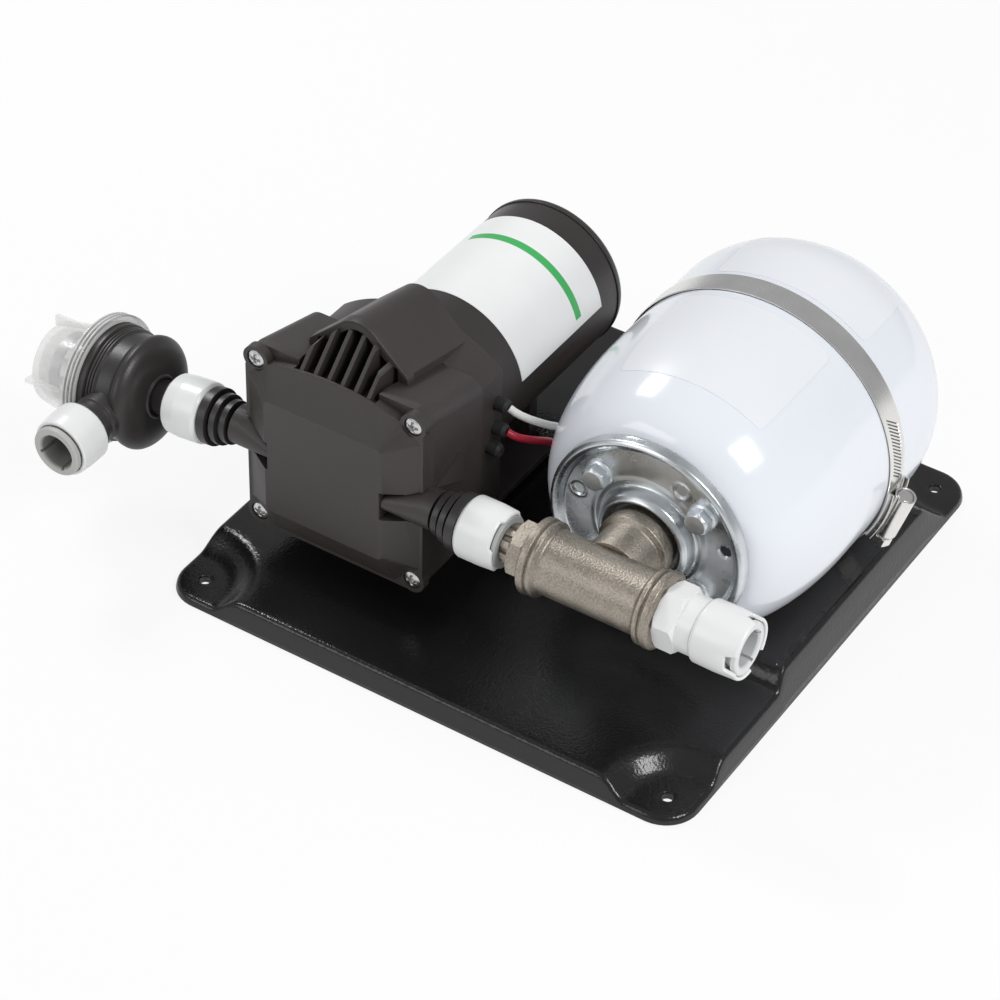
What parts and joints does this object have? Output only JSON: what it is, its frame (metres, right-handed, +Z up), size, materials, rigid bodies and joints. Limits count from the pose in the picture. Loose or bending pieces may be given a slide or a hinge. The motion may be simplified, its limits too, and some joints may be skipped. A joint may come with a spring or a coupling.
{
  "type": "caravan water pump kit",
  "caption": "Caravan fresh-water pump kit: diaphragm pump with motor, inlet strainer, outlet tee and a banded accumulator tank, fixed together on a moulded tray.",
  "frame": {"origin": "centre of the tray's four fixing holes, on the surface that the tray stands on", "axes": "+X along the tray's front edge from the inlet side to the outlet side, +Y from the pump's front cover to the back, +Z up"},
  "size_m": [0.3422, 0.2625, 0.1334],
  "materials": {
    "tray_plastic": "black moulded sheet with a fine grain",
    "pump_plastic": "black glass-filled moulding",
    "rubber": "black rubber",
    "screw_steel": "plain steel",
    "valve_plastic": "natural moulded plastic",
    "drive_metal": "turned aluminium",
    "bearing_steel": "ground steel",
    "plunger_plastic": "red moulded plastic",
    "motor_paint": "black satin paint",
    "label_film": "white film with a green stripe",
    "magnet": "sintered ferrite",
    "carbon": "pressed carbon",
    "bronze": "sintered bronze",
    "core_steel": "stacked steel sheets",
    "copper": "copper",
    "plug_plastic": "black moulded plastic",
    "nut_white": "white moulded plastic",
    "mesh_steel": "stainless mesh",
    "clear_bowl": "clear moulded plastic",
    "collet_grey": "grey moulded plastic",
    "tee_metal": "dull nickel-plated cast brass",
    "tank_paint": "cool white powder coat",
    "flange_zinc": "bright zinc plate",
    "clamp_steel": "stainless steel",
    "lead_white": "white insulation",
    "lead_red": "red insulation"
  },
  "bodies": {
    "base": {"base_tray": "tray_plastic", "foot_bracket": "pump_plastic", "foot_grommets": "rubber", "foot_screws": "screw_steel", "front_cover": "pump_plastic", "cover_screws": "screw_steel", "head_housing": "pump_plastic", "switch_cover": "pump_plastic", "rear_housing": "pump_plastic", "valve_plate": "valve_plastic", "diaphragm": "rubber", "piston_plate": "valve_plastic", "drive_bearing": "bearing_steel", "switch_body": "pump_plastic", "motor_can": "motor_paint", "motor_end_cap": "motor_paint", "motor_label": "label_film", "magnets": "magnet", "brushes": "carbon", "end_bearing": "bronze", "inlet_plug": "plug_plastic", "outlet_plug": "plug_plastic", "port_o_rings": "rubber", "outlet_nut": "nut_white", "outlet_collar": "collet_grey", "stem_adaptor": "tee_metal", "tee": "tee_metal", "tube_adaptor": "nut_white", "tube_nut": "nut_white", "tank_shell": "tank_paint", "bladder": "rubber", "air_valve": "plug_plastic", "tank_flange": "flange_zinc", "flange_bolts": "flange_zinc", "clamp_band": "clamp_steel", "clamp_housing": "clamp_steel", "wire_glands": "rubber", "wire_white": "lead_white", "wire_red": "lead_red"},
    "rotor": {"motor_shaft": "bearing_steel", "armature_core": "core_steel", "armature_winding": "copper", "commutator": "copper", "eccentric": "drive_metal"},
    "strainer": {"inlet_nut": "nut_white", "strainer_body": "plug_plastic", "strainer_mesh": "mesh_steel", "bowl_seal": "rubber", "strainer_inlet_nut": "nut_white"},
    "bowl": {"strainer_bowl": "clear_bowl"},
    "intake_collet": {"inlet_collet": "collet_grey"},
    "tube_collet": {"outlet_collet": "collet_grey"},
    "worm": {"clamp_screw": "clamp_steel"},
    "plunger": {"switch_plunger": "plunger_plastic"}
  },
  "joints": [
    {"name": "rotor_spin", "type": "hinge", "parent": "base", "child": "rotor", "pos_m": [-0.0625, 0, 0.0695], "axis": [0, 1, 0], "continuous": true},
    {"name": "strainer_swivel", "type": "hinge", "parent": "base", "child": "strainer", "pos_m": [-0.10625, -0.085, 0.0695], "axis": [-0.9945, 0, -0.1045], "range_deg": [-90, 90]},
    {"name": "bowl_twist", "type": "hinge", "parent": "strainer", "child": "bowl", "pos_m": [-0.10625, -0.085, 0.0695], "axis": [-0.9945, 0, -0.1045], "range_deg": [0, 45]},
    {"name": "inlet_collet_press", "type": "slide", "parent": "strainer", "child": "intake_collet", "axis": [0, 1, 0], "range_m": [0, 0.002]},
    {"name": "outlet_collet_press", "type": "slide", "parent": "base", "child": "tube_collet", "axis": [-1, 0, 0], "range_m": [0, 0.002]},
    {"name": "clamp_screw_turn", "type": "hinge", "parent": "base", "child": "worm", "pos_m": [0.12665, 0.0385, 0.04943], "axis": [0.2924, 0, 0.9563], "continuous": true},
    {"name": "switch_plunger_press", "type": "slide", "parent": "base", "child": "plunger", "axis": [0, 0, 1], "range_m": [0, 0.001], "stiffness_N_per_m": 300}
  ]
}
